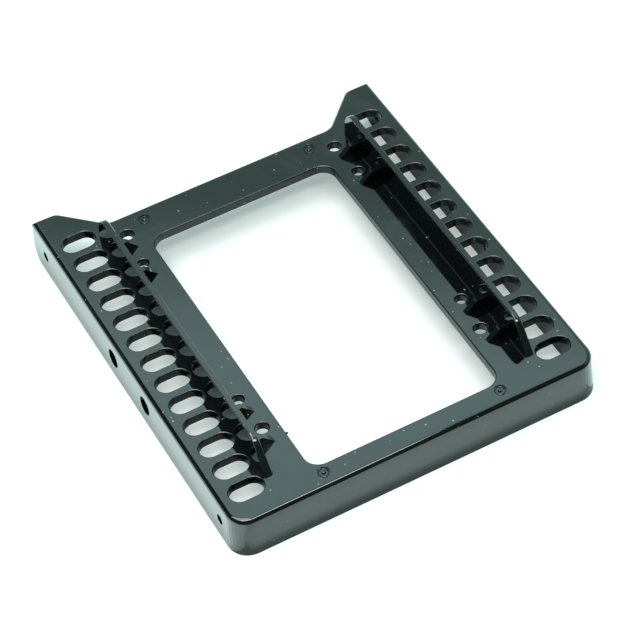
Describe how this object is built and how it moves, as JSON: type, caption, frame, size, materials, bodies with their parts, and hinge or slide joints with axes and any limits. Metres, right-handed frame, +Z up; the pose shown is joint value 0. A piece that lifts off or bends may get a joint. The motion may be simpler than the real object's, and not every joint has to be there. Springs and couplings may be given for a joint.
{
  "type": "drive bay adapter bracket",
  "caption": "Moulded plastic tray with slotted sides, a central window and two guide ribs that carries a small drive in a larger drive bay.",
  "frame": {"origin": "middle of the bracket's outline, on the plane that its walls stand on", "axes": "+X across the side walls, +Y from the front wall to the open rear, +Z up from the walls' bottoms to the ribs"},
  "size_m": [0.1022, 0.1188, 0.0215],
  "materials": {
    "moulding": "gloss black moulded plastic"
  },
  "bodies": {
    "root": {"adapter_bracket": "moulding"}
  },
  "joints": []
}
